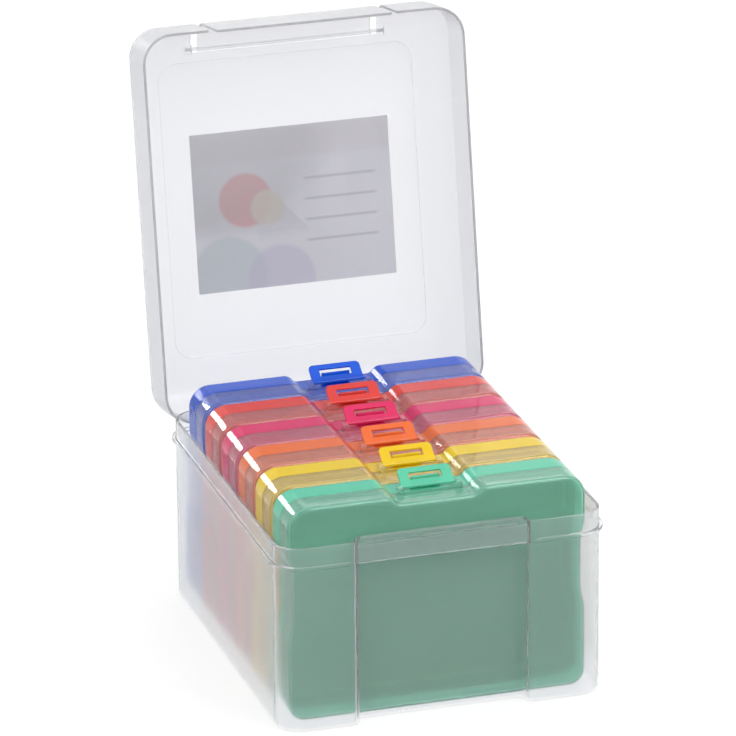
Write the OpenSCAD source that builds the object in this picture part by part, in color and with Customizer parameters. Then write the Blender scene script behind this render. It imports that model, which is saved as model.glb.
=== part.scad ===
// Photo keeper: a translucent carry box with a deep hinged lid and six slim clamshell cases.
// Millimetres. Z is up, the front faces -Y, the origin is the middle of the underside.
// The lid stands open, as a user takes the cases out.

/* [Outer box] */
// Width over the ledge that the lid stands on
box_w = 185; // [180:1:200]
// Depth over the same ledge
box_d = 218.5; // [214:0.5:230]
// Corner radius in plan, over the ledge
box_r = 17; // [16:0.5:24]
// Wall of the box
box_wall = 1.8; // [1.4:0.1:2.2]
// Floor of the box
floor_t = 1.8; // [1.4:0.1:2.6]
// Height of the ledge above the table
ledge_z = 94.6; // [80:0.5:100]
// How far the ledge stands out from the wall
ledge_out = 2; // [1.8:0.1:2.6]
// Thickness of the ledge
ledge_t = 2; // [1.4:0.1:3]
// Height of the rim band above the ledge
rim_h = 9.9; // [8:0.1:12]
// Half width of the finger recess, to the middle of its curved sides
recess_half = 46.5; // [44.5:0.5:50]
// Depth of the finger recesses in the front and rear walls
recess_d = 7.5; // [7.2:0.1:8]

/* [Lid] */
// Wall of the lid
lid_wall = 1.5; // [1.2:0.1:1.6]
// Height of the lid over the skirt's edge
lid_h = 43; // [40:1:50]
// Radius of the soft edge round the lid's top
lid_edge = 15; // [12:0.5:15.5]
// Gap between the closed lid's edge and the ledge
lid_seat = 0.3; // [0.2:0.05:0.5]
// How far the lid stands open, in degrees
lid_open = 100; // [95:1:100]
// Inset of the raised panel in the lid's top, at the sides
panel_side = 19; // [17.5:0.5:28]
// Inset of the raised panel at the rear
panel_rear_in = 28.75; // [24.25:0.5:38.75]
// Inset of the raised panel at the front
panel_front_in = 23.25; // [21.25:0.5:33.25]
// Corner radius of the raised panel
panel_r = 10; // [6:0.5:14]
// How far the panel stands out
panel_step = 0.8; // [0.4:0.1:1.2]

/* [Lid hinge] */
// Distance of the hinge axis in from the ledge's rear edge
hinge_in = 1.75; // [1.75:0.05:1.8]
// Height of the hinge axis above the ledge
hinge_up = 3.2; // [3.2:0.05:3.4]
// Radius of the hinge pins on the box
hinge_pin_r = 1.6; // [1.2:0.1:1.7]
// Radial clearance of the lid's clips on the pins
hinge_fit = 0.08; // [0.04:0.01:0.1]
// Outer radius of the lid's clips
clip_r = 2.9; // [2.8:0.05:2.9]
// Width of one clip
clip_w = 12; // [8:0.5:14]
// Middle of each clip, out from the centre
clip_x = 36; // [30:0.5:38]
// Thickness of the lugs that carry a pin
lug_t = 2.5; // [2:0.1:3]
// Side gap between a clip and its lugs
clip_gap = 0.3; // [0.3:0.05:0.5]

/* [Front latch] */
// Half width of the latch flap
flap_half = 50.2; // [46:0.2:50.2]
// Gap at each end of the flap
flap_gap = 3.8; // [2:0.1:4]
// Flap's hinge axis behind the lid's front face
flap_axis_in = 15.65; // [15.6:0.05:16.6]
// How far the flap hangs below the lid's edge
flap_drop = 2.9; // [1:0.1:4]
// Radius of the flap's hinge barrel
flap_barrel_r = 1.7; // [1.6:0.05:1.8]
// Radius of its end pins
flap_pin_r = 1; // [0.8:0.05:1.1]
// Radial clearance of those pins
flap_fit = 0.07; // [0.04:0.01:0.1]

/* [Label] */
// Width of the card on the lid
label_w = 115.5; // [90:0.5:120]
// Length of the card on the lid
label_len = 90; // [70:1:110]
// Thickness of the card
label_t = 0.3; // [0.2:0.05:0.4]

/* [Inner cases] */
// Room between a case and the edge of the ledge, on each side
case_side = 10; // [9.5:0.5:12.5]
// Height of one case at its shoulders
case_h = 121; // [117:0.5:121.5]
// Gap between two cases
case_gap = 0.6; // [0.4:0.1:0.7]
// Play of the row of cases, at each end
row_play = 0.75; // [0.4:0.05:1]
// Gap under the cases
case_lift = 0.3; // [0.1:0.1:0.5]
// Wall of a case
case_wall = 1.5; // [1.3:0.1:1.5]
// Radius of the soft edge round each face
case_edge = 3; // [2.5:0.1:3.2]
// Upper corner radius
case_top_r = 12; // [8:0.5:16]
// Lower corner radius
case_foot_r = 9; // [6:0.5:14]
// How far the middle of the top edge is lowered
dip = 4; // [3.6:0.1:4.4]
// Half width of the lowered part
dip_half = 20; // [19:0.5:24]
// How far behind the middle of a case its two shells meet
split_off = 0.05; // [0:0.05:0.3]
// Gap between the two shells along that line
split_gap = 0.3; // [0.2:0.05:0.4]
// Thickness of the inner lip
lip_t = 1.2; // [1:0.1:1.2]
// Gap between the lip and the rear shell
lip_gap = 0.3; // [0.15:0.05:0.3]
// Room between the inner lip's end and the rear panel
lip_end = 2.8; // [2.4:0.1:6]
// How far the face panel lies in from the rim round it
face_sunk = 0.1; // [0.05:0.05:0.3]

/* [Case latch] */
// Half width of the latch flap
tab_half = 14.6; // [13:0.1:14.8]
// Length of the flap from its hinge
tab_len = 11.4; // [11:0.1:12]
// Thickness of the flap
tab_t = 1.4; // [1.2:0.1:1.6]
// Slope of the closed flap, in degrees
tab_slope = 34.7; // [33:0.1:36]
// Hinge axis behind the split
tab_behind = 2.2; // [2:0.05:2.4]
// Hinge axis above the lowered top edge
tab_axis_up = 2.1; // [2:0.05:2.3]
// Radius of the hinge bar
tab_bar_r = 1; // [0.9:0.05:1.1]
// Radius of its end pins
tab_pin_r = 0.8; // [0.7:0.05:0.8]
// Radial clearance of those pins
tab_fit = 0.06; // [0.04:0.01:0.1]
// Half width of the window in the flap
window_half = 9; // [8:0.1:10]
// Window's near edge, from the hinge axis
window_a = 3.6; // [3.4:0.1:3.7]
// Window's far edge, from the hinge axis
window_b = 8.2; // [8:0.1:8.6]
// Half width of the catch in the window
catch_half = 8; // [6:0.1:8.4]

/* [Hidden] */
// box
body_w = box_w - 2 * ledge_out;
body_d = box_d - 2 * ledge_out;
body_r = box_r - ledge_out;
rim_z = ledge_z + rim_h;
cases = 6;
row = body_d - 2 * (box_wall + recess_d + row_play);
case_t = (row - (cases - 1) * case_gap) / cases;
pitch = case_t + case_gap;
recess_r = recess_d / 2;
ledge_gap = 1.3;
ledge_break = recess_half + recess_r + ledge_gap;
lug_r = 2.6;
// lid
lid_z0 = ledge_z + lid_seat;
lid_z1 = lid_z0 + lid_h;
lid_fz = lid_z1 - lid_edge;
panel_half = box_w / 2 - panel_side;
panel_back = box_d / 2 - panel_rear_in;
panel_front = panel_front_in - box_d / 2;
axis_y = box_d / 2 - hinge_in;
axis_z = ledge_z + hinge_up;
back_cut_in = 6;
back_cut_up = 2;
back_cut_y = axis_y - back_cut_in;
back_cut_z = axis_z + back_cut_up;
lug_clear = 0.8;
hinge_cut_z = axis_z + lug_r + lug_clear;
hinge_cut_half = clip_x + clip_w / 2 + clip_gap + lug_t + 3 * lug_clear;
stop_t = 0.75;
stop_w = 10;
stop_h = 4;
stop_in = 22.5;
stop_x = box_w / 2 - stop_in;
snap_slot = 2.4;
// latch flap in the lid
flap_y = -box_d / 2 + flap_axis_in;
flap_axis_down = 1.9;
flap_clear = 0.4;
flap_z = lid_z1 - flap_axis_down;
opening_half = flap_half + flap_gap;
boss_w = 3.5;
// cases
row_y0 = -row / 2;
case_z = floor_t + case_lift;
case_w = box_w - 2 * case_side;
split_y = case_t / 2 + split_off;
lip_len = case_t - split_y - case_wall - lip_end;
tab_axis_y = split_y + tab_behind;
// each side of the dip is two tangent arcs that turn by the angle of a 3-4-5 triangle
dip_turn = atan2(4, 3);
dip_r2 = 2 * case_edge + 0.1;
dip_r1 = 2.5 * dip - dip_r2;
dip_run = 2 * dip;
knuckle_w = 2.4;
knuckle_r = 1.3;
catch_t = 1.6;
lip_root = 2;
face_run = 1;
edge_steps = 4;
bar_proud = 0.1;
knuckle_gap = 0.4;
pin_short = 0.4;
knuckle_run = 4;
knuckle_y = split_y - knuckle_run;
bore_over = 1;
tab_r = 2.5;
boss_d = 5.2;
boss_h = 4.1;
boss_in = 0.2;

milky = [0.90, 0.91, 0.94, 0.45];
blue = [0.05, 0.28, 0.85, 0.6];
red = [0.90, 0.20, 0.18, 0.6];
magenta = [0.86, 0.12, 0.36, 0.6];
orange = [0.98, 0.38, 0.14, 0.6];
yellow = [0.95, 0.80, 0.08, 0.6];
teal = [0.18, 0.70, 0.58, 0.6];

// a rectangle with round corners
module round_rect(w, d, r) {
    square([w - 2 * r, d], center = true);
    square([w, d - 2 * r], center = true);
    for (x = [-1, 1], y = [-1, 1])
        translate([x * (w / 2 - r), y * (d / 2 - r)]) circle(r = r, $fn = 64);
}

// the recess in a long wall, grown by g towards the inside
module recess_plan(g) {
    translate([0, -body_d / 2]) {
        translate([-recess_half - g, -1]) square([2 * (recess_half + g), 1 + recess_d - recess_r]);
        translate([-recess_half + recess_r, -1])
            square([2 * (recess_half - recess_r), 1 + recess_d + g]);
        for (s = [-1, 1]) {
            translate([s * (recess_half - recess_r), recess_d - recess_r])
                circle(r = recess_r + g, $fn = 48);
            difference() {
                translate([s > 0 ? recess_half : -recess_half - recess_r, -1])
                    square([recess_r, 1 + recess_r]);
                translate([s * (recess_half + recess_r), recess_r])
                    circle(r = recess_r - g, $fn = 48);
            }
        }
    }
}

// the box's outline in plan, g inside its outer face
module body_plan(g) {
    difference() {
        round_rect(body_w - 2 * g, body_d - 2 * g, body_r - g);
        recess_plan(g);
        mirror([0, 1]) recess_plan(g);
    }
}

// walls, ledge, pull channel and hinge lugs of the box
module box_solid() {
    difference() {
        linear_extrude(height = rim_z) body_plan(0);
        translate([0, 0, floor_t]) linear_extrude(height = rim_z) body_plan(box_wall);
    }
    // ledge, left out where the walls are recessed
    translate([0, 0, ledge_z - ledge_t]) linear_extrude(height = ledge_t) difference() {
        round_rect(box_w, box_d, box_r);
        round_rect(body_w - box_wall, body_d - box_wall, body_r - box_wall / 2);
        square([2 * ledge_break, 2 * box_d], center = true);
    }
    // pull channel across the front recess: a lip hanging from a web
    translate([-recess_half - recess_r, -body_d / 2, ledge_z - ledge_t])
        cube([2 * (recess_half + recess_r), box_wall, rim_h + ledge_t]);
    translate([0, 0, rim_z - box_wall]) linear_extrude(height = box_wall) difference() {
        translate([-recess_half - recess_r, -body_d / 2])
            square([2 * (recess_half + recess_r), recess_d + box_wall / 2]);
        difference() {
            body_plan(0);
            body_plan(box_wall / 2);
        }
        body_plan(box_wall / 2);
    }
    // hinge lugs with a pin between each pair
    for (s = [-1, 1], e = [-1, 1])
        translate([s * clip_x + e * (clip_w / 2 + clip_gap + lug_t / 2), 0, 0]) hinge_lug();
    for (s = [-1, 1])
        translate([s * clip_x, axis_y, axis_z]) rotate([0, 90, 0])
            cylinder(r = hinge_pin_r, h = clip_w + 2 * clip_gap + lug_t, center = true, $fn = 32);
}

module hinge_lug() {
    y0 = body_d / 2 - recess_d - box_wall / 2;
    translate([-lug_t / 2, y0, axis_z - lug_r]) cube([lug_t, axis_y - y0, 2 * lug_r]);
    translate([0, axis_y, axis_z]) rotate([0, 90, 0])
        cylinder(r = lug_r, h = lug_t, center = true, $fn = 32);
}

// skirt, soft edge and a short run of the top, as one section; x = 0 is the outer face
module lid_section(z0, run) {
    translate([-lid_wall, z0]) square([lid_wall, lid_fz - z0]);
    translate([-lid_edge, lid_fz]) intersection() {
        difference() {
            circle(r = lid_edge, $fn = 96);
            circle(r = lid_edge - lid_wall, $fn = 96);
        }
        square([lid_edge, lid_edge]);
    }
    translate([-lid_edge - run, lid_z1 - lid_wall]) square([run, lid_wall]);
}

// the lid in its closed place
module lid_closed() {
    difference() {
        union() {
            lid_shell();
            // clips on the hinge pins
            for (s = [-1, 1]) translate([s * clip_x, 0, 0]) hinge_clip();
            // bosses for the flap's pins
            for (s = [-1, 1])
                translate([s * (opening_half + boss_w / 2) - boss_w / 2, flap_y - boss_d / 2,
                    lid_z1 - boss_h - boss_in]) cube([boss_w, boss_d, boss_h]);
        }
        // bores of those pins, open to the flap's opening
        for (s = [-1, 1])
            translate([s * (opening_half + boss_w / 2), flap_y, flap_z]) rotate([0, 90, 0])
                cylinder(r = flap_pin_r + flap_fit, h = boss_w + 2 * bore_over, center = true, $fn = 24);
    }
}

// skirt, soft edge, top with its raised panel, and the stops
module lid_shell() {
    run = box_r - lid_edge;
    difference() {
        union() {
            for (q = [[1, 1, 0], [-1, 1, 90], [-1, -1, 180], [1, -1, 270]])
                translate([q[0] * (box_w / 2 - box_r), q[1] * (box_d / 2 - box_r), 0])
                    rotate([0, 0, q[2]]) rotate_extrude(angle = 90, $fn = 64)
                        translate([box_r, 0]) lid_section(lid_z0, run);
            for (s = [0, 180]) {
                rotate([0, 0, s]) translate([box_w / 2, box_d / 2 - box_r, 0]) rotate([90, 0, 0])
                    linear_extrude(height = box_d - 2 * box_r) lid_section(lid_z0, run);
                rotate([0, 0, s + 90]) translate([box_d / 2, box_w / 2 - box_r, 0]) rotate([90, 0, 0])
                    linear_extrude(height = box_w - 2 * box_r) lid_section(lid_z0, run);
            }
            translate([-box_w / 2 + box_r, -box_d / 2 + box_r, lid_z1 - lid_wall])
                cube([box_w - 2 * box_r, box_d - 2 * box_r, lid_wall]);
            translate([0, 0, lid_z1 - lid_wall]) linear_extrude(height = lid_wall + panel_step)
                panel_plan(0);
            for (s = [-1, 1])
                translate([s * stop_x - stop_w / 2, box_d / 2 - lid_wall / 2, back_cut_z])
                    cube([stop_w, lid_wall / 2 + stop_t, stop_h]);
        }
        // hollow under the raised panel
        translate([0, 0, lid_z1 - lid_wall - 1]) linear_extrude(height = 1 + panel_step)
            panel_plan(lid_wall);
        // raised rear edge, higher still over the hinge
        translate([-box_w, back_cut_y, 0]) cube([2 * box_w, box_d, back_cut_z]);
        translate([-hinge_cut_half, back_cut_y, 0]) cube([2 * hinge_cut_half, box_d, hinge_cut_z]);
        // opening for the latch flap
        translate([-opening_half, -box_d, 0])
            cube([2 * opening_half, box_d + flap_y + flap_barrel_r + flap_clear, 2 * lid_z1]);
    }
}

module panel_plan(g) {
    translate([0, (panel_back + panel_front) / 2])
        round_rect(2 * (panel_half - g), panel_back - panel_front - 2 * g, panel_r - g);
}

module hinge_clip() {
    difference() {
        union() {
            translate([0, axis_y, axis_z]) rotate([0, 90, 0])
                cylinder(r = clip_r, h = clip_w, center = true, $fn = 48);
            translate([-clip_w / 2, box_d / 2 - lid_wall, axis_z])
                cube([clip_w, lid_wall, hinge_cut_z - axis_z + 1]);
        }
        translate([0, axis_y, axis_z]) rotate([0, 90, 0])
            cylinder(r = hinge_pin_r + hinge_fit, h = clip_w + 1, center = true, $fn = 48);
        translate([-clip_w, axis_y - snap_slot / 2, axis_z - clip_r - 1])
            cube([2 * clip_w, snap_slot, clip_r + 1]);
    }
}

// the latch flap in the closed lid
module flap_closed() {
    run = flap_axis_in - lid_edge;
    translate([-flap_half, -box_d / 2, 0]) rotate([90, 0, 90])
        linear_extrude(height = 2 * flap_half) mirror([1, 0]) lid_section(lid_z0 - flap_drop, run);
    translate([0, flap_y, flap_z]) rotate([0, 90, 0]) {
        cylinder(r = flap_barrel_r, h = 2 * flap_half, center = true, $fn = 32);
        cylinder(r = flap_pin_r, h = 2 * (opening_half + boss_w) - 2 * pin_short,
            center = true, $fn = 24);
    }
}

// everything on the lid swings about the hinge axis
module swing_open() {
    translate([0, axis_y, axis_z]) rotate([-lid_open, 0, 0]) translate([0, -axis_y, -axis_z])
        children();
}

// a straight run of a case's wall, from [x, z], heading a degrees
module run_of(x, z, a, len) {
    translate([x, 0, z]) rotate([0, 90 - a, 0]) linear_extrude(height = len) children();
}

// a curved run about [x, z] from a0 to a1 degrees; outer = the centre lies inside the case
module turn_of(x, z, r, a0, a1, outer = true) {
    translate([x, 0, z]) rotate([-90, 0, 0]) rotate([0, 0, -a1])
        rotate_extrude(angle = a1 - a0, $fn = 96)
            translate([r, 0]) mirror([outer ? 0 : 1, 0]) children();
}

// the space above (side = 1) or below (side = -1) the plane where the dip's two arcs meet
module beside_seam(side) {
    span = 2 * case_t;
    translate([dip_half, case_t / 2, case_h - dip + dip_r1]) rotate([0, 90 - dip_turn, 0])
        translate([0, 0, side * span / 2]) cube(span, center = true);
}

// carries a wall section once round the case's outline
module round_case() {
    w = case_w / 2;
    h = case_h;
    rt = case_top_r;
    rf = case_foot_r;
    xb = dip_half + dip_run;
    run_of(-w + rf, 0, 0, 2 * (w - rf)) children();
    run_of(dip_half, h - dip, 180, 2 * dip_half) children();
    for (s = [0, 1]) mirror([s, 0, 0]) {
        turn_of(w - rf, rf, rf, -90, 0) children();
        run_of(w, rf, 90, h - rf - rt) children();
        turn_of(w - rt, h - rt, rt, 0, 90) children();
        run_of(w - rt, h, 180, w - rt - xb) children();
        intersection() {
            turn_of(xb, h - dip_r2, dip_r2, 90, 180) children();
            beside_seam(1);
        }
        intersection() {
            turn_of(dip_half, h - dip + dip_r1, dip_r1, -90, 0, false) children();
            beside_seam(-1);
        }
    }
}

// outline of the face panel, g inside the case's outline
module face_plan(g) {
    w = case_w / 2;
    h = case_h;
    turns = [0, dip_turn / 2, dip_turn];
    edge = concat(
        [for (a = turns) [dip_half, h - dip + dip_r1] + (dip_r1 + g) * [sin(a), -cos(a)]],
        [for (a = [dip_turn / 2, 0]) [dip_half + dip_run, h - dip_r2] + (dip_r2 - g) * [-sin(a), cos(a)]],
        [[dip_half + dip_run, h], [0, h], [0, h - dip - g]]);
    difference() {
        union() {
            translate([-w + g, case_foot_r]) square([2 * (w - g), h - case_foot_r - case_top_r]);
            translate([-w + case_foot_r, g]) square([2 * (w - case_foot_r), case_foot_r]);
            translate([-w + case_top_r, h - case_top_r - g])
                square([2 * (w - case_top_r), case_top_r]);
            for (s = [-1, 1]) {
                translate([s * (w - case_foot_r), case_foot_r]) circle(r = case_foot_r - g, $fn = 96);
                translate([s * (w - case_top_r), h - case_top_r]) circle(r = case_top_r - g, $fn = 96);
            }
        }
        for (s = [0, 1]) mirror([s, 0]) polygon(edge);
    }
}

// stands a plan upright, from depth y to y + t
module upright(y, t) {
    translate([0, y + t, 0]) rotate([90, 0, 0]) linear_extrude(height = t) children();
}

// wall section of a case shell with a soft edge: from the face at y = 0 back to y = len,
// with or without the inner lip at its end
module shell_section(edge, len, lip = false) {
    s = case_wall + lip_gap;
    arc = [for (i = [0:edge_steps]) [sin(i * 90 / edge_steps), -cos(i * 90 / edge_steps)]];
    polygon(concat(
        [[-edge - face_run, 0]],
        [for (a = arc) [-edge, edge] + edge * a],
        [[0, len]],
        lip ? [[-s, len], [-s, len + lip_len], [-s - lip_t, len + lip_len],
            [-s - lip_t, len - lip_root], [-case_wall, len - lip_root]] : [[-case_wall, len]],
        [for (i = [edge_steps:-1:0]) [-edge, edge] + (edge - case_wall) * arc[i]],
        [[-edge - face_run, case_wall]]));
}

// a tray with its face at the rear of the case, open towards the front;
// the face panel lies a little below the rim around it, on both sides
module tray(len, lip = false) {
    upright(case_t - case_wall + face_sunk, case_wall - 2 * face_sunk)
        face_plan(case_edge + face_run / 2);
    round_case() translate([0, case_t]) mirror([0, 1]) shell_section(case_edge, len, lip);
}

// front shell: a tray with an inner lip and the latch's knuckles
module front_shell() {
    low_z = case_h - dip;
    ay = tab_axis_y;
    az = low_z + tab_axis_up;
    translate([0, case_t, 0]) mirror([0, 1, 0]) tray(split_y, true);
    for (s = [-1, 1]) difference() {
        translate([s * (tab_half + knuckle_gap + knuckle_w / 2), 0, 0]) union() {
            translate([-knuckle_w / 2, knuckle_y, low_z - case_wall / 2])
                cube([knuckle_w, split_y - knuckle_y, az - low_z]);
            translate([-knuckle_w / 2, knuckle_y, az - knuckle_r])
                cube([knuckle_w, ay - knuckle_y, 2 * knuckle_r]);
            translate([0, ay, az]) rotate([0, 90, 0])
                cylinder(r = knuckle_r, h = knuckle_w, center = true, $fn = 24);
        }
        translate([s * (tab_half + knuckle_w), ay, az]) rotate([0, 90, 0])
            cylinder(r = tab_pin_r + tab_fit, h = 2 * (knuckle_w + bore_over), center = true, $fn = 24);
    }
}

// rear shell: a shallower tray with the catch for the latch
module back_shell() {
    low_z = case_h - dip;
    tray(case_t - split_y - split_gap);
    catch_r = (window_a + window_b) / 2;
    catch_y = tab_axis_y + catch_r * cos(tab_slope) - catch_t / 2;
    translate([-catch_half, catch_y, low_z - case_wall / 2])
        cube([2 * catch_half, catch_t, case_wall / 2 + tab_axis_up + catch_r * sin(tab_slope)]);
}

// latch flap of a case, leaning back over the split
module case_latch() {
    translate([0, tab_axis_y, case_h - dip + tab_axis_up]) {
        rotate([tab_slope, 0, 0]) difference() {
            translate([0, 0, -tab_t / 2]) linear_extrude(height = tab_t) difference() {
                union() {
                    translate([-tab_half, 0]) square([2 * tab_half, tab_len - tab_r]);
                    translate([-tab_half + tab_r, 0]) square([2 * (tab_half - tab_r), tab_len]);
                    for (s = [-1, 1]) translate([s * (tab_half - tab_r), tab_len - tab_r])
                        circle(r = tab_r, $fn = 32);
                }
                translate([-window_half, window_a]) square([2 * window_half, window_b - window_a]);
            }
        }
        rotate([0, 90, 0]) {
            cylinder(r = tab_bar_r, h = 2 * (tab_half + bar_proud), center = true, $fn = 24);
            cylinder(r = tab_pin_r, h = 2 * (tab_half + knuckle_gap + knuckle_w) - pin_short,
                center = true, $fn = 24);
        }
    }
}

// slot i of the row, 0 at the front
module in_slot(i) {
    translate([0, row_y0 + i * pitch, case_z]) children();
}

module outer_box() color(milky) box_solid();
module outer_lid() color(milky) swing_open() lid_closed();
module front_latch() color(milky) swing_open() flap_closed();
module lid_label() color([0.93, 0.93, 0.97]) swing_open()
    translate([-label_w / 2, -label_len / 2, lid_z1 + panel_step]) cube([label_w, label_len, label_t]);
module blue_back_shell() color(blue) in_slot(5) back_shell();
module blue_front_shell() color(blue) in_slot(5) front_shell();
module blue_latch() color(blue) in_slot(5) case_latch();
module red_back_shell() color(red) in_slot(4) back_shell();
module red_front_shell() color(red) in_slot(4) front_shell();
module red_latch() color(red) in_slot(4) case_latch();
module magenta_back_shell() color(magenta) in_slot(3) back_shell();
module magenta_front_shell() color(magenta) in_slot(3) front_shell();
module magenta_latch() color(magenta) in_slot(3) case_latch();
module orange_back_shell() color(orange) in_slot(2) back_shell();
module orange_front_shell() color(orange) in_slot(2) front_shell();
module orange_latch() color(orange) in_slot(2) case_latch();
module yellow_back_shell() color(yellow) in_slot(1) back_shell();
module yellow_front_shell() color(yellow) in_slot(1) front_shell();
module yellow_latch() color(yellow) in_slot(1) case_latch();
module teal_back_shell() color(teal) in_slot(0) back_shell();
module teal_front_shell() color(teal) in_slot(0) front_shell();
module teal_latch() color(teal) in_slot(0) case_latch();

outer_box();
outer_lid();
front_latch();
lid_label();
blue_back_shell();
blue_front_shell();
blue_latch();
red_back_shell();
red_front_shell();
red_latch();
magenta_back_shell();
magenta_front_shell();
magenta_latch();
orange_back_shell();
orange_front_shell();
orange_latch();
yellow_back_shell();
yellow_front_shell();
yellow_latch();
teal_back_shell();
teal_front_shell();
teal_latch();
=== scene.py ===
# %% [markdown]
# A photo keeper: a clear carry box whose deep lid stands open over six slim coloured cases.
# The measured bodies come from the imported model, which is loaded here as a fixed frame. Everything
# below dresses those bodies: soft moulded edges, see-through plastics, a printed card, light and camera.
# Sizes are in metres, +Z is up and the front of the box faces -Y.

# %% Load the frame
import math
import bpy
from mathutils import Matrix, Vector


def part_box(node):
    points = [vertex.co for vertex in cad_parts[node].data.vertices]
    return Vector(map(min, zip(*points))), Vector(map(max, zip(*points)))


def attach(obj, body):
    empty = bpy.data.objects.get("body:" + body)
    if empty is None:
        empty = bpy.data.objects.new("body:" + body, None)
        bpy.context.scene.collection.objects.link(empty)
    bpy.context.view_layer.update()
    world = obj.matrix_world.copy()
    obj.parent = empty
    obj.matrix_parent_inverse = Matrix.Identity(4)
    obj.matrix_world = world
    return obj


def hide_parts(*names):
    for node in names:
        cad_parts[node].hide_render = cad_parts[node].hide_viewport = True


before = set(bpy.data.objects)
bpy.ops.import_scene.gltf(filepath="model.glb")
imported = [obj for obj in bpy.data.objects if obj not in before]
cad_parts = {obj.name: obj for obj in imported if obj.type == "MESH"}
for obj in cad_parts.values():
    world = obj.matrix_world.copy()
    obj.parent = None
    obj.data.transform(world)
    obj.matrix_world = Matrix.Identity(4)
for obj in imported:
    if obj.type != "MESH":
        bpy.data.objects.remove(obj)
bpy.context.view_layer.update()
scene = bpy.context.scene

# %% [markdown]
# Every code cell uses a few small helpers. An operator works on whatever is selected, so `only`
# leaves one object selected and active before each step, and `pick_points` opens edit mode with
# just the points that pass a test. `feed` joins a socket to a node, or sets a plain number there.

# %% Small helpers
MM = 0.001
CASES = ["blue", "red", "magenta", "orange", "yellow", "teal"]


def only(obj):
    """Select one object alone and make it active."""
    bpy.ops.object.select_all(action="DESELECT")
    obj.select_set(True)
    bpy.context.view_layer.objects.active = obj
    return obj


def pick_points(obj, test):
    """Open edit mode on obj with only the points selected whose place passes the test."""
    only(obj)
    bpy.ops.object.mode_set(mode="EDIT")
    bpy.ops.mesh.select_mode(type="VERT")
    bpy.ops.mesh.select_all(action="DESELECT")
    bpy.ops.object.mode_set(mode="OBJECT")
    for point in obj.data.vertices:
        point.select = test(point.co)
    bpy.ops.object.mode_set(mode="EDIT")


def feed(links, value, socket):
    """Join a socket to a node's input, or write a plain number into it."""
    if isinstance(value, bpy.types.NodeSocket):
        links.new(value, socket)
    else:
        socket.default_value = value


print("six cases, back to front:", ", ".join(CASES))

# %% [markdown]
# Plastic first. The box and the lid are milky polypropylene: light goes through and is scattered a
# little on the way, so things close behind the wall look sharp and things further away blur. The
# Principled shader does both, with most of its weight on rough transmission and the rest on a pale
# diffuse haze. Moulded walls are never quite even, so a soft noise varies the roughness by a tenth
# and a faint bump waves the surface. The lid is hazier than the box.

# %% Moulded plastic
WAVE_DEPTH = 0.5 * MM
WAVE_OCTAVES = 3
UNEVEN = 0.1
BOX_PLASTIC = {"clear": 0.94, "rough": 0.22, "ior": 1.3, "wave_scale": 40, "wave": 0.03}
LID_PLASTIC = {"clear": 0.8, "rough": 0.2, "ior": 1.25, "wave_scale": 40, "wave": 0.03}


def plastic(name, colour, clear, rough, ior, wave_scale, wave):
    """A see-through moulded plastic. clear is the share of light that goes through."""
    mat = bpy.data.materials.new(name)
    mat.use_nodes = True
    nodes, links = mat.node_tree.nodes, mat.node_tree.links
    shader = nodes["Principled BSDF"]
    shader.inputs["Base Color"].default_value = (*colour, 1)
    shader.inputs["Transmission Weight"].default_value = clear
    shader.inputs["IOR"].default_value = ior
    place = nodes.new("ShaderNodeTexCoord")
    noise = nodes.new("ShaderNodeTexNoise")
    noise.inputs["Scale"].default_value = wave_scale
    noise.inputs["Detail"].default_value = WAVE_OCTAVES
    links.new(place.outputs["Object"], noise.inputs["Vector"])
    spread = nodes.new("ShaderNodeMapRange")
    spread.inputs["To Min"].default_value = rough * (1 - UNEVEN)
    spread.inputs["To Max"].default_value = rough * (1 + UNEVEN)
    links.new(noise.outputs["Fac"], spread.inputs["Value"])
    links.new(spread.outputs["Result"], shader.inputs["Roughness"])
    bump = nodes.new("ShaderNodeBump")
    bump.inputs["Strength"].default_value = wave
    bump.inputs["Distance"].default_value = WAVE_DEPTH
    links.new(noise.outputs["Fac"], bump.inputs["Height"])
    links.new(bump.outputs["Normal"], shader.inputs["Normal"])
    return mat


milky = plastic("milky_plastic", (0.955, 0.965, 0.98), **BOX_PLASTIC)
lid_milky = plastic("lid_plastic", (0.87, 0.877, 0.90), **LID_PLASTIC)
print("materials", milky.name, lid_milky.name)

# %% [markdown]
# Each inner case is tinted plastic, much glossier than the box. Its rear shell and latch have a
# full tint and let half of the light through, and its front shell is paler and clearer. That gives
# the bands along the top of each case: saturated behind, softer in front. Where walls lie one
# behind the other the tints multiply.

# %% Tinted plastic of the cases
FULL_TINTS = {
    "blue": (0.01, 0.13, 0.80),
    "red": (0.95, 0.09, 0.07),
    "magenta": (0.90, 0.04, 0.20),
    "orange": (1.0, 0.24, 0.06),
    "yellow": (1.0, 0.76, 0.02),
    "teal": (0.16, 0.74, 0.52),
}
PALE_SHARE = 0.3
FULL_PLASTIC = {"clear": 0.5, "rough": 0.07, "ior": 1.4, "wave_scale": 60, "wave": 0.03}
PALE_PLASTIC = {"clear": 0.78, "rough": 0.05, "ior": 1.4, "wave_scale": 60, "wave": 0.03}


def paler(colour, share):
    """The colour moved towards white by that share."""
    return tuple(c + (1 - c) * share for c in colour)


full_tint = {c: plastic(c + "_plastic", FULL_TINTS[c], **FULL_PLASTIC) for c in CASES}
pale_tint = {
    c: plastic(c + "_pale_plastic", paler(FULL_TINTS[c], PALE_SHARE), **PALE_PLASTIC)
    for c in CASES}
print("tints", len(full_tint) + len(pale_tint))

# %% [markdown]
# A mould never makes a knife edge, and the bright line along a rounded edge is most of what tells
# clear plastic from air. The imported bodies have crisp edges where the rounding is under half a
# millimetre, so each visible body gets a copy: its loose triangles are merged, flat faces are
# joined again, and the crisp edges are bevelled. Only edges long enough to take the radius are
# marked, because one very short edge would shrink the bevel everywhere.

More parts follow.
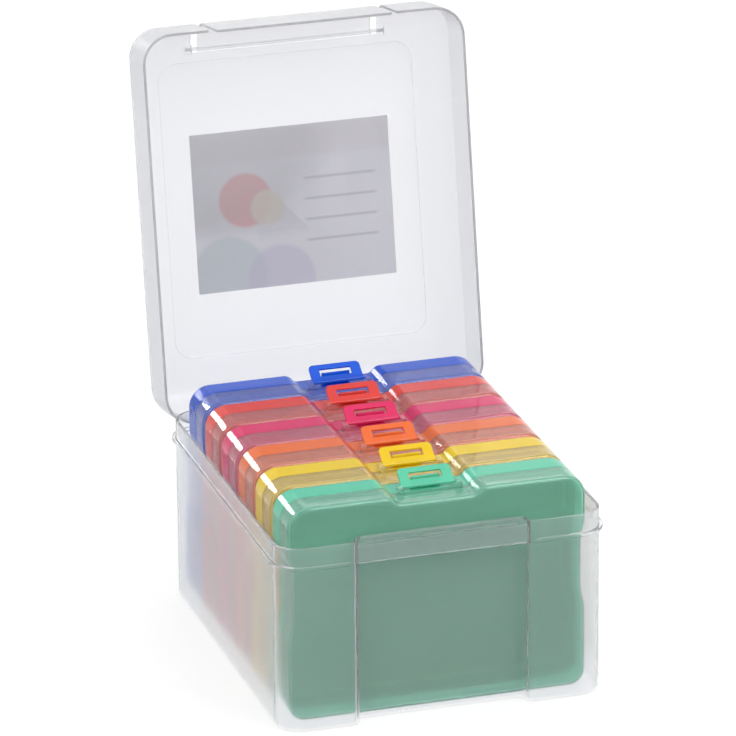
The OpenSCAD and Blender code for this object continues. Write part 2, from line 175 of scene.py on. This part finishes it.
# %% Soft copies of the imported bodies
SHARP = math.radians(38)
SMOOTH = math.radians(35)
SHORT_EDGE = 0.2 * MM
MERGE_GAP = 0.002 * MM
FLAT = math.radians(0.5)
SOFT_STEPS = 2


def merged_copy(name, body, mat):
    """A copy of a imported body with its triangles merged, which stands for that body."""
    obj = bpy.data.objects.new(name + "_soft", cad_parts[name].data.copy())
    scene.collection.objects.link(obj)
    only(obj)
    bpy.ops.object.mode_set(mode="EDIT")
    bpy.ops.mesh.select_all(action="SELECT")
    bpy.ops.mesh.remove_doubles(threshold=MERGE_GAP)
    bpy.ops.mesh.dissolve_limited(angle_limit=FLAT)
    bpy.ops.object.mode_set(mode="OBJECT")
    obj.data.materials.clear()
    obj.data.materials.append(mat)
    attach(obj, body)
    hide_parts(name)
    return obj


def mark_edges(obj, wanted):
    """Give full bevel weight to the crisp edges whose middle passes the test, and count them."""
    mesh = obj.data
    faces_of = {}
    for face in mesh.polygons:
        for key in face.edge_keys:
            faces_of.setdefault(key, []).append(face.normal)
    name = "bevel_weight_edge"
    weights = mesh.attributes.get(name) or mesh.attributes.new(name, "FLOAT", "EDGE")
    marked = 0
    for edge in mesh.edges:
        pair = faces_of.get(tuple(sorted(edge.vertices)), [])
        a, b = (mesh.vertices[i].co for i in edge.vertices)
        crisp = len(pair) == 2 and pair[0].angle(pair[1], 0) > SHARP
        keep = crisp and (a - b).length > SHORT_EDGE and wanted((a + b) / 2)
        weights.data[edge.index].value = 1.0 if keep else 0.0
        marked += keep
    return marked


def bevel(obj, width, steps=SOFT_STEPS):
    """Round the marked edges."""
    only(obj)
    soft = obj.modifiers.new("soft_edge", "BEVEL")
    soft.limit_method = "WEIGHT"
    soft.width = width
    soft.segments = steps
    soft.use_clamp_overlap = False
    bpy.ops.object.modifier_apply(modifier=soft.name)


def finish_surface(obj):
    """Smooth shading over the curves, with flat faces kept flat."""
    only(obj)
    bpy.ops.object.shade_smooth_by_angle(angle=SMOOTH)
    weighted = obj.modifiers.new("flat_faces", "WEIGHTED_NORMAL")
    weighted.keep_sharp = True
    bpy.ops.object.modifier_apply(modifier=weighted.name)
    print(obj.name, len(obj.data.polygons), "faces")


# %% [markdown]
# The outer box stands on a softly rounded foot, as every deep moulded box does so that it leaves
# the tool. Its rim, ledge and pull lip only have their edges broken. So the foot is bevelled first
# with a wide radius, and then everything above it with a narrow one.

# %% Outer box with a rounded foot and soft rims
FOOT_SOFT = 2.2 * MM
FOOT_STEPS = 4
FOOT_TOP = 5 * MM
GROUND_GAP = 0.01 * MM
RIM_SOFT = 0.35 * MM
box_soft = merged_copy("outer_box", "outer_box", milky)
print("foot edges", mark_edges(box_soft, lambda m: m.z < GROUND_GAP))
bevel(box_soft, FOOT_SOFT, FOOT_STEPS)
print("rim edges", mark_edges(box_soft, lambda m: m.z > FOOT_TOP))
bevel(box_soft, RIM_SOFT)
finish_surface(box_soft)

# %% [markdown]
# The lid and its latch flap are thinner than the box. They already have wide radii in the packed
# model, so only their rims are broken.

# %% Lid and latch flap
LID_SOFT = 0.25 * MM
for name, body, width in (("outer_lid", "lid", LID_SOFT), ("front_latch", "front_latch", RIM_SOFT)):
    piece = merged_copy(name, body, lid_milky)
    print(name, "edges", mark_edges(piece, lambda m: True))
    bevel(piece, width)
    finish_surface(piece)

# %% [markdown]
# Each case is a little narrower at mid height, so that two fingers can pull it out of the row. On
# the copy, both shells are cut at a few levels where the side bends, and the side walls are scaled
# inwards there. The cuts lie closer together on the two bends than on the straight run between
# them, which keeps the curve smooth with few faces.

# %% Finger grips in the sides of a case
GRIP_DEPTH = 2.2 * MM
GRIP_FOOT, GRIP_START, GRIP_END, GRIP_TOP = 44 * MM, 60 * MM, 86 * MM, 98 * MM
GRIP_STEPS = 6
SIDE_FROM = 74 * MM
HALF_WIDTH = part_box("teal_front_shell")[1][0]
LEVEL_REACH = 0.05 * MM


def ease(t):
    """0 to 1 with a soft start and end."""
    t = max(0.0, min(1.0, t))
    return t * t * (3 - 2 * t)


def grip_at(z):
    """How far in the side lies at height z."""
    rise = ease((z - GRIP_FOOT) / (GRIP_START - GRIP_FOOT))
    fall = ease((GRIP_TOP - z) / (GRIP_TOP - GRIP_END))
    return GRIP_DEPTH * min(rise, fall)


grip_levels = [GRIP_FOOT + (GRIP_START - GRIP_FOOT) * i / GRIP_STEPS for i in range(GRIP_STEPS + 1)]
grip_levels += [GRIP_END + (GRIP_TOP - GRIP_END) * i / GRIP_STEPS for i in range(GRIP_STEPS + 1)]


def shape_grips(obj):
    """Cut a shell at the grip's levels and scale its side walls in."""
    only(obj)
    bpy.ops.object.mode_set(mode="EDIT")
    for z in grip_levels:
        bpy.ops.mesh.select_all(action="SELECT")
        bpy.ops.mesh.bisect(plane_co=(0, 0, z), plane_no=(0, 0, 1))
    bpy.ops.object.mode_set(mode="OBJECT")
    for z in grip_levels:
        if grip_at(z) > 0:
            pick_points(obj, lambda p: abs(p.x) > SIDE_FROM and abs(p.z - z) < LEVEL_REACH)
            narrow = 1 - grip_at(z) / HALF_WIDTH
            bpy.ops.transform.resize(value=(narrow, 1, 1), center_override=(0, 0, z))
            bpy.ops.object.mode_set(mode="OBJECT")


print("grip levels in mm", [round(z / MM, 1) for z in grip_levels])

# %% [markdown]
# Six cases, each a pair of shells and a latch. The front shell is the pale one. The curved rim
# round each face already has its radius, so only the edges between the two faces are broken.

# %% Six cases
CASE_SOFT = 0.2 * MM
FACE_KEEP = 0.5 * MM
for case in CASES:
    for part, mat in (("back_shell", full_tint[case]), ("front_shell", pale_tint[case])):
        node = case + "_" + part
        shell = merged_copy(node, case + "_case", mat)
        shape_grips(shell)
        low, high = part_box(node)
        mark_edges(shell, lambda m: low[1] + FACE_KEEP < m.y < high[1] - FACE_KEEP)
        bevel(shell, CASE_SOFT)
        finish_surface(shell)
    tab = merged_copy(case + "_latch", case + "_case_latch", full_tint[case])
    mark_edges(tab, lambda m: True)
    bevel(tab, LID_SOFT)
    finish_surface(tab)

# %% [markdown]
# The card on the lid is printed paper, seen from behind through the milky lid. The print is a
# pattern of plain shapes. It follows the card by a UV map that is measured along the card's own
# width and length, because Object coordinates would run across the slope of the open lid, which
# leans back by ten degrees.

# %% Card with its own map
LEAN = math.radians(10)
card_soft = merged_copy("lid_label", "lid", lid_milky)
card_up = Vector((0, math.sin(LEAN), math.cos(LEAN)))
card_points = [(p.co.x, p.co.dot(card_up)) for p in card_soft.data.vertices]
card_low = [min(p[i] for p in card_points) for i in (0, 1)]
card_size = [max(p[i] for p in card_points) - card_low[i] for i in (0, 1)]
card_map = card_soft.data.uv_layers.new(name="print")
for loop in card_soft.data.loops:
    place = card_points[loop.vertex_index]
    card_map.data[loop.index].uv = [(place[i] - card_low[i]) / card_size[i] for i in (0, 1)]
print("card", [round(v / MM, 1) for v in card_size])

# %% [markdown]
# A shape of the print is a mask: 1 inside, 0 outside, with a soft border. A disc comes from the
# distance to its middle, and a bar from the distances along the two directions. Each mask then
# mixes its ink over what lies below it. Places and sizes are shares of the card: a band along the
# top, a sun with a small glow beside it, two hills, and ruled lines on the other side.

# %% Print on the card
CARD_PAPER = (0.95, 0.95, 1.0)
INK_SOFT = 0.012


def calculate(tree, kind, a, b=0.0):
    """One Math node with plain numbers or sockets as its inputs."""
    node = tree.nodes.new("ShaderNodeMath")
    node.operation = kind
    feed(tree.links, a, node.inputs[0])
    feed(tree.links, b, node.inputs[1])
    return node.outputs[0]


def inside(tree, distance, reach):
    """1 where distance is under reach, 0 beyond it."""
    node = tree.nodes.new("ShaderNodeMapRange")
    node.inputs["From Min"].default_value = reach + INK_SOFT
    node.inputs["From Max"].default_value = reach - INK_SOFT
    tree.links.new(distance, node.inputs["Value"])
    return node.outputs["Result"]


def away(tree, along, middle):
    """How far a place lies from the middle."""
    return calculate(tree, "ABSOLUTE", calculate(tree, "SUBTRACT", along, middle))


def disc(tree, u, v, at, radius):
    """A round mask. Its radius is a share of the card's length."""
    across = calculate(tree, "MULTIPLY", away(tree, u, at[0]), card_size[0] / card_size[1])
    flat = calculate(tree, "POWER", across, 2.0)
    tall = calculate(tree, "POWER", away(tree, v, at[1]), 2.0)
    return inside(tree, calculate(tree, "SQRT", calculate(tree, "ADD", flat, tall)), radius)


def bar(tree, u, v, at, half):
    """A mask with straight sides, half[0] wide and half[1] high on each side of its middle."""
    wide = inside(tree, away(tree, u, at[0]), half[0])
    return calculate(tree, "MULTIPLY", wide, inside(tree, away(tree, v, at[1]), half[1]))


def ink(tree, below, colour, mask, strength):
    """Mix an ink over what lies below it."""
    mix = tree.nodes.new("ShaderNodeMix")
    mix.data_type = "RGBA"
    tree.links.new(calculate(tree, "MULTIPLY", mask, strength), mix.inputs["Factor"])
    if isinstance(below, tuple):
        mix.inputs["A"].default_value = (*below, 1)
    else:
        tree.links.new(below, mix.inputs["A"])
    mix.inputs["B"].default_value = (*colour, 1)
    return mix.outputs["Result"]


BAND = (bar, (0.5, 0.9), (0.6, 0.1), (0.90, 0.87, 0.90), 0.7)
SUN = (disc, (0.26, 0.56), 0.17, (0.93, 0.36, 0.36), 0.8)
SUN_GLOW = (disc, (0.37, 0.5), 0.11, (0.95, 0.88, 0.72), 0.8)
NEAR_HILL = (disc, (0.16, 0.1), 0.24, (0.62, 0.74, 0.78), 0.55)
FAR_HILL = (disc, (0.42, 0.04), 0.22, (0.72, 0.68, 0.86), 0.6)
LINES = 4
LINE_START, LINE_STEP = (0.74, 0.66), 0.13
LINE_HALF, LINE_INK, LINE_STRENGTH = (0.18, 0.002), (0.30, 0.30, 0.40), 0.8
PAPER_ROUGH = 0.6


def card_paper():
    """Paper with a sun over hills at the left and ruled lines at the right."""
    mat = bpy.data.materials.new("label_card")
    mat.use_nodes = True
    tree = mat.node_tree
    shader = tree.nodes["Principled BSDF"]
    shader.inputs["Roughness"].default_value = PAPER_ROUGH
    uv = tree.nodes.new("ShaderNodeUVMap")
    uv.uv_map = "print"
    split = tree.nodes.new("ShaderNodeSeparateXYZ")
    tree.links.new(uv.outputs["UV"], split.inputs[0])
    u, v = split.outputs["X"], split.outputs["Y"]
    paint = CARD_PAPER
    for shape, at, size, colour, strength in (BAND, SUN, SUN_GLOW, NEAR_HILL, FAR_HILL):
        paint = ink(tree, paint, colour, shape(tree, u, v, at, size), strength)
    for row in range(LINES):
        line = bar(tree, u, v, (LINE_START[0], LINE_START[1] - LINE_STEP * row), LINE_HALF)
        paint = ink(tree, paint, LINE_INK, line, LINE_STRENGTH)
    tree.links.new(paint, shader.inputs["Base Color"])
    return mat


card_soft.data.materials.clear()
card_soft.data.materials.append(card_paper())
finish_surface(card_soft)

# %% [markdown]
# The floor is a white sheet. Most of its white is a steady glow, for the camera and for rays seen
# in gloss or through plastic, and the rest is lit paint. The less paint, the fainter the shadow
# of the box: it stays, because the glow only adds a constant.

# %% Floor
FLOOR_GLOW = 0.77
FLOOR_COLOUR = (0.22, 0.22, 0.222)
FLOOR_ROUGH, FLOOR_SHINE = 0.9, 0.1
FLOOR_SIZE, FLOOR_PLACE = 14, (0, 2, 0)
bpy.ops.object.select_all(action="DESELECT")
bpy.ops.mesh.primitive_plane_add(size=FLOOR_SIZE, location=FLOOR_PLACE)
floor = bpy.context.object
floor.name = "floor"
bpy.ops.object.transform_apply(location=True, rotation=True, scale=True)


def seen(nodes, links):
    """1 for rays of the camera, of gloss and of transmission, 0 for the light's own bounces."""
    path = nodes.new("ShaderNodeLightPath")
    value = path.outputs["Is Camera Ray"]
    for name in ("Is Glossy Ray", "Is Transmission Ray"):
        most = nodes.new("ShaderNodeMath")
        most.operation = "MAXIMUM"
        links.new(value, most.inputs[0])
        links.new(path.outputs[name], most.inputs[1])
        value = most.outputs[0]
    return value


def floor_paint():
    """Lit paint with a steady glow on top."""
    mat = bpy.data.materials.new("floor_paint")
    mat.use_nodes = True
    nodes, links = mat.node_tree.nodes, mat.node_tree.links
    shader = nodes["Principled BSDF"]
    shader.inputs["Base Color"].default_value = (*FLOOR_COLOUR, 1)
    shader.inputs["Roughness"].default_value = FLOOR_ROUGH
    shader.inputs["Specular IOR Level"].default_value = FLOOR_SHINE
    shader.inputs["Emission Color"].default_value = (1, 1, 1, 1)
    scale = nodes.new("ShaderNodeMath")
    scale.operation = "MULTIPLY"
    scale.inputs[1].default_value = FLOOR_GLOW
    links.new(seen(nodes, links), scale.inputs[0])
    links.new(scale.outputs[0], shader.inputs["Emission Strength"])
    return mat


floor.data.materials.append(floor_paint())
print("floor glow", FLOOR_GLOW)

# %% [markdown]
# The room is a plain white tent. It lights the object softly and evenly, and what the camera, a
# glossy edge or a clear wall sees of it is white.

# %% World
WORLD_LIGHT = 0.95
WORLD_SEEN = 1.0
world = bpy.data.worlds.new("studio")
scene.world = world
world.use_nodes = True
w_nodes, w_links = world.node_tree.nodes, world.node_tree.links
light_part = w_nodes["Background"]
light_part.inputs["Color"].default_value = (1, 1, 1, 1)
light_part.inputs["Strength"].default_value = WORLD_LIGHT
white_part = w_nodes.new("ShaderNodeBackground")
white_part.inputs["Color"].default_value = (1, 1, 1, 1)
white_part.inputs["Strength"].default_value = WORLD_SEEN
pick = w_nodes.new("ShaderNodeMixShader")
w_links.new(seen(w_nodes, w_links), pick.inputs["Fac"])
w_links.new(light_part.outputs[0], pick.inputs[1])
w_links.new(white_part.outputs[0], pick.inputs[2])
w_links.new(pick.outputs[0], w_nodes["World Output"].inputs["Surface"])
print("world light", WORLD_LIGHT)

# %% [markdown]
# Soft boxes give the shapes their shading. The key stands high at the front, the fill opens the
# other side, and a small bright one stands low behind the box on the left: it is what the rounded
# upper corners of the cases mirror as short white lines.

# %% Lamps
CENTRE = (0, 0, 0.1)


def softbox(name, place, width, power):
    """A square area lamp that faces the centre of the box."""
    bpy.ops.object.light_add(type="AREA", location=place)
    lamp = bpy.context.object
    lamp.name = name
    lamp.data.shape = "SQUARE"
    lamp.data.size = width
    lamp.data.energy = power
    lamp.rotation_euler = (Vector(CENTRE) - Vector(place)).to_track_quat("-Z", "Y").to_euler()
    return lamp


softbox("key", place=(0.9, -1.1, 2.1), width=1.2, power=24)
softbox("fill", place=(-1.7, -1.2, 1.2), width=1.4, power=9)
softbox("back", place=(0.6, 1.8, 1.6), width=1.2, power=8)
softbox("corner", place=(-0.95, 2.4, 0.85), width=0.45, power=14)

# %% [markdown]
# The camera stands far away with a long lens, left of the front and a little above, and is turned
# by half a degree, as in the photograph.

# %% Camera
SENSOR = 36.0
FOCAL_PIXELS = 6287.0
FRAME_PIXELS = 736.0
AZIMUTH, ELEVATION, ROLL = math.radians(17.06), math.radians(20.7), math.radians(-0.51)
DISTANCE = 3.381
SIGHT = 50
target = Vector((-0.00823, 0, 0.15944))
aside = math.cos(ELEVATION)
towards_eye = Vector((-math.sin(AZIMUTH) * aside, -math.cos(AZIMUTH) * aside, math.sin(ELEVATION)))
eye = target + DISTANCE * towards_eye
ahead = (target - eye).normalized()
right = ahead.cross(Vector((0, 0, 1))).normalized()
up = right.cross(ahead)
right, up = (math.cos(ROLL) * right + math.sin(ROLL) * up, -math.sin(ROLL) * right + math.cos(ROLL) * up)
lens = bpy.data.cameras.new("camera")
lens.sensor_width = SENSOR
lens.lens = SENSOR * FOCAL_PIXELS / FRAME_PIXELS
lens.clip_end = SIGHT
camera = bpy.data.objects.new("camera", lens)
scene.collection.objects.link(camera)
camera.matrix_world = Matrix((
    (right.x, up.x, -ahead.x, eye.x),
    (right.y, up.y, -ahead.y, eye.y),
    (right.z, up.z, -ahead.z, eye.z),
    (0, 0, 0, 1)))
scene.camera = camera
print("camera", [round(v, 3) for v in eye], "lens", round(lens.lens, 1))

# %% [markdown]
# Light crosses dozens of walls on its way through six cases, so it is allowed many bounces.

# %% Finish
WALL_BOUNCES = 28
scene.view_settings.view_transform = "Standard"
scene.cycles.max_bounces = WALL_BOUNCES
scene.cycles.transmission_bounces = WALL_BOUNCES
scene.cycles.transparent_max_bounces = WALL_BOUNCES
